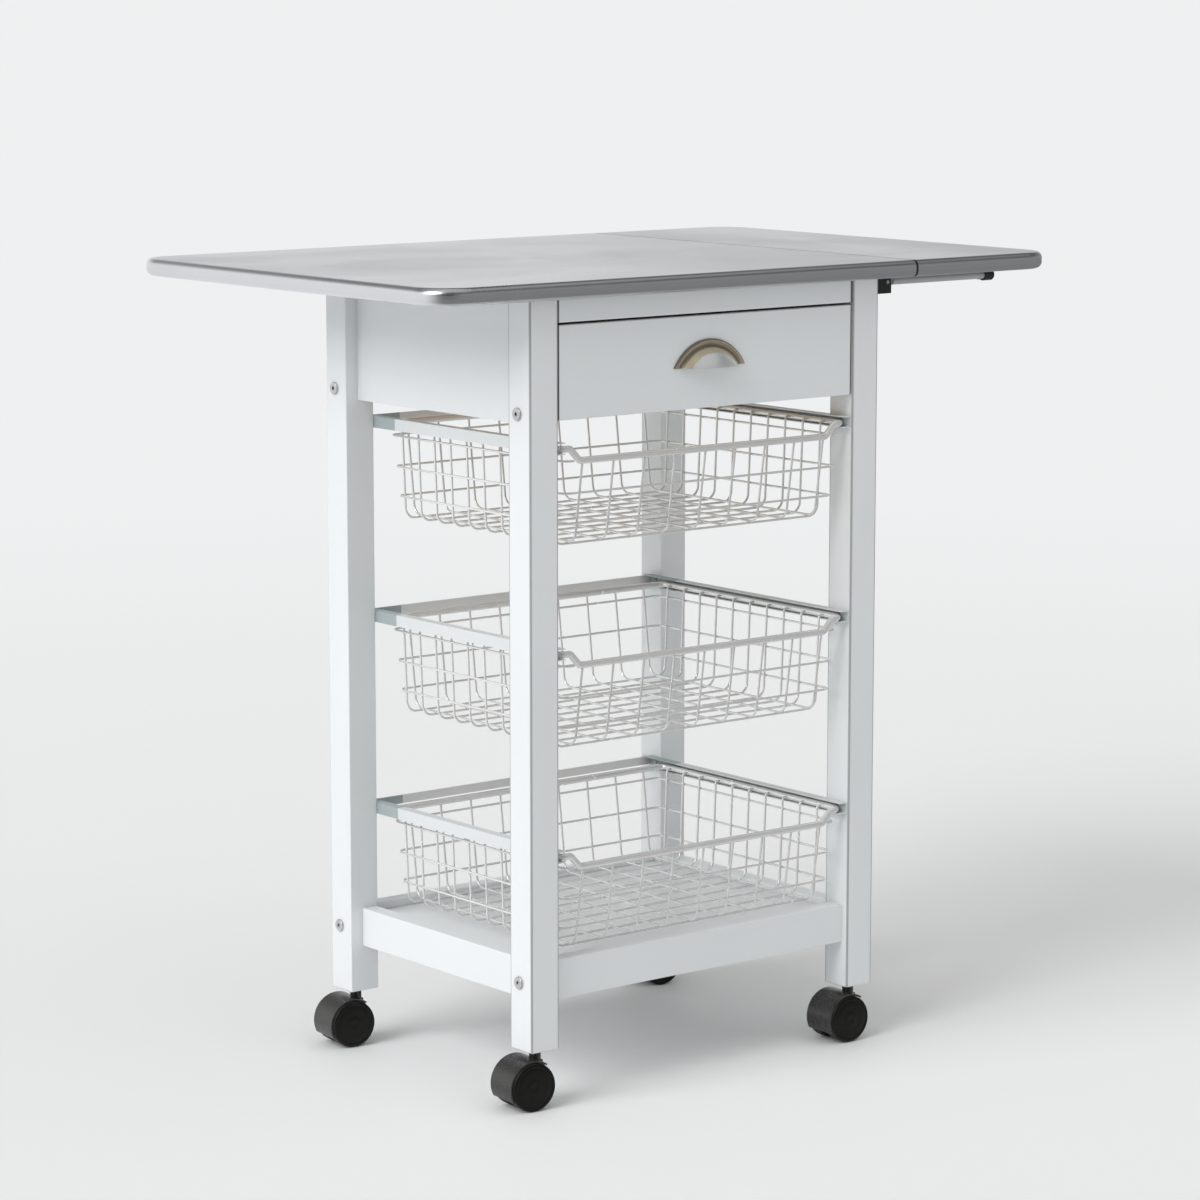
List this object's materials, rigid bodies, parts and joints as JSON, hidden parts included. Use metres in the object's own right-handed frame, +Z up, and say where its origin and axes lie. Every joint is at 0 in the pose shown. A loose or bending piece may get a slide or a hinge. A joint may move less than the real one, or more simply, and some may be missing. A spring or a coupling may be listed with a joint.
{
  "type": "kitchen cart",
  "caption": "Kitchen cart on twin-wheel casters with a drawer, sliding wire baskets, a low shelf and a worktop with a drop leaf.",
  "frame": {"origin": "on the floor, under the middle of the worktop with its leaf up", "axes": "+Z up, -Y towards the drawer's front, +X towards the drop leaf"},
  "size_m": [0.826, 0.546, 0.835],
  "materials": {
    "lacquered_wood": "white satin lacquer",
    "steel_laminate": "board wrapped in brushed-steel laminate",
    "plain_wood": "clear lacquered softwood and plywood",
    "steel": "zinc plated",
    "white_steel": "white powder coat",
    "grey_steel": "blue-grey powder coat",
    "chrome_wire": "bright plated wire",
    "grey_rod": "grey lacquered rod",
    "pull_metal": "antiqued nickel with darkened rims",
    "black_plastic": "moulded, lightly satin",
    "wheel_black": "hard moulded, satin gloss"
  },
  "bodies": {
    "frame": {"leg_front_left": "lacquered_wood", "leg_front_right": "lacquered_wood", "leg_back_left": "lacquered_wood", "leg_back_right": "lacquered_wood", "low_rail_front": "lacquered_wood", "low_rail_back": "lacquered_wood", "low_rail_left": "lacquered_wood", "low_rail_right": "lacquered_wood", "side_panel_left": "lacquered_wood", "side_panel_right": "lacquered_wood", "back_panel": "lacquered_wood", "front_top_rail": "lacquered_wood", "shelf_board": "lacquered_wood", "drawer_cross_rail": "plain_wood", "tabletop": "steel_laminate", "leg_bolts": "steel", "hinge_plates_fixed": "steel", "hinge_pins": "steel", "stay_pins": "steel", "frame_screws": "steel", "barrel_nuts": "steel", "caster_stems": "steel", "stay_blocks": "black_plastic", "caster_sockets": "black_plastic", "dowels": "plain_wood", "drawer_strips": "plain_wood", "basket_runners": "white_steel", "rear_bars": "grey_steel"},
    "leaf": {"leaf": "steel_laminate", "hinge_plates_leaf": "steel", "leaf_screws": "steel"},
    "stay": {"stay_rods": "grey_rod", "stay_elbows": "black_plastic"},
    "drawer": {"drawer_front": "lacquered_wood", "drawer_side_left": "plain_wood", "drawer_side_right": "plain_wood", "drawer_back": "plain_wood", "drawer_bottom": "plain_wood", "cup_pull": "pull_metal", "pull_screws": "steel"},
    "basket_1": {"basket_1": "chrome_wire"},
    "basket_2": {"basket_2": "chrome_wire"},
    "basket_3": {"basket_3": "chrome_wire"},
    "caster_front_left": {"caster_hood_front_left": "black_plastic", "caster_axle_front_left": "steel"},
    "wheel_front_left_a": {"wheel_front_left_a": "wheel_black"},
    "wheel_front_left_b": {"wheel_front_left_b": "wheel_black"},
    "caster_back_left": {"caster_hood_back_left": "black_plastic", "caster_axle_back_left": "steel"},
    "wheel_back_left_a": {"wheel_back_left_a": "wheel_black"},
    "wheel_back_left_b": {"wheel_back_left_b": "wheel_black"},
    "caster_front_right": {"caster_hood_front_right": "black_plastic", "caster_axle_front_right": "steel"},
    "wheel_front_right_a": {"wheel_front_right_a": "wheel_black"},
    "wheel_front_right_b": {"wheel_front_right_b": "wheel_black"},
    "caster_back_right": {"caster_hood_back_right": "black_plastic", "caster_axle_back_right": "steel"},
    "wheel_back_right_a": {"wheel_back_right_a": "wheel_black"},
    "wheel_back_right_b": {"wheel_back_right_b": "wheel_black"}
  },
  "joints": [
    {"name": "drawer_slide", "type": "slide", "parent": "frame", "child": "drawer", "axis": [0, -1, 0], "range_m": [0, 0.24]},
    {"name": "basket_1_slide", "type": "slide", "parent": "frame", "child": "basket_1", "axis": [0, -1, 0], "range_m": [0, 0.22]},
    {"name": "basket_2_slide", "type": "slide", "parent": "frame", "child": "basket_2", "axis": [0, -1, 0], "range_m": [0, 0.22]},
    {"name": "basket_3_slide", "type": "slide", "parent": "frame", "child": "basket_3", "axis": [0, -1, 0], "range_m": [0, 0.22]},
    {"name": "leaf_hinge", "type": "hinge", "parent": "frame", "child": "leaf", "pos_m": [0.2075, 0, 0.814], "axis": [0, 1, 0], "range_deg": [0, 90]},
    {"name": "stay_pivot", "type": "hinge", "parent": "frame", "child": "stay", "pos_m": [0.193, 0, 0.8107], "axis": [0, 1, 0], "range_deg": [0, 90]},
    {"name": "caster_front_left_swivel", "type": "hinge", "parent": "frame", "child": "caster_front_left", "pos_m": [-0.27, -0.2335, 0.06], "axis": [0, 0, 1], "continuous": true},
    {"name": "wheel_front_left_a_spin", "type": "hinge", "parent": "caster_front_left", "child": "wheel_front_left_a", "pos_m": [-0.28293, -0.23214, 0.025], "axis": [-0.1045, -0.9945, 0], "continuous": true},
    {"name": "wheel_front_left_b_spin", "type": "hinge", "parent": "caster_front_left", "child": "wheel_front_left_b", "pos_m": [-0.28293, -0.23214, 0.025], "axis": [-0.1045, -0.9945, 0], "continuous": true},
    {"name": "caster_back_left_swivel", "type": "hinge", "parent": "frame", "child": "caster_back_left", "pos_m": [-0.27, 0.0795, 0.06], "axis": [0, 0, 1], "continuous": true},
    {"name": "wheel_back_left_a_spin", "type": "hinge", "parent": "caster_back_left", "child": "wheel_back_left_a", "pos_m": [-0.2829, 0.08108, 0.025], "axis": [-0.1219, -0.9925, 0], "continuous": true},
    {"name": "wheel_back_left_b_spin", "type": "hinge", "parent": "caster_back_left", "child": "wheel_back_left_b", "pos_m": [-0.2829, 0.08108, 0.025], "axis": [-0.1219, -0.9925, 0], "continuous": true},
    {"name": "caster_front_right_swivel", "type": "hinge", "parent": "frame", "child": "caster_front_right", "pos_m": [0.155, -0.2335, 0.06], "axis": [0, 0, 1], "continuous": true},
    {"name": "wheel_front_right_a_spin", "type": "hinge", "parent": "caster_front_right", "child": "wheel_front_right_a", "pos_m": [0.14201, -0.23305, 0.025], "axis": [-0.0349, -0.9994, 0], "continuous": true},
    {"name": "wheel_front_right_b_spin", "type": "hinge", "parent": "caster_front_right", "child": "wheel_front_right_b", "pos_m": [0.14201, -0.23305, 0.025], "axis": [-0.0349, -0.9994, 0], "continuous": true},
    {"name": "caster_back_right_swivel", "type": "hinge", "parent": "frame", "child": "caster_back_right", "pos_m": [0.155, 0.0795, 0.06], "axis": [0, 0, 1], "continuous": true},
    {"name": "wheel_back_right_a_spin", "type": "hinge", "parent": "caster_back_right", "child": "wheel_back_right_a", "pos_m": [0.14205, 0.08063, 0.025], "axis": [-0.0872, -0.9962, 0], "continuous": true},
    {"name": "wheel_back_right_b_spin", "type": "hinge", "parent": "caster_back_right", "child": "wheel_back_right_b", "pos_m": [0.14205, 0.08063, 0.025], "axis": [-0.0872, -0.9962, 0], "continuous": true}
  ],
  "couplings": [
    {"joint": "stay_pivot", "follows": "leaf_hinge", "ratio": 1}
  ]
}
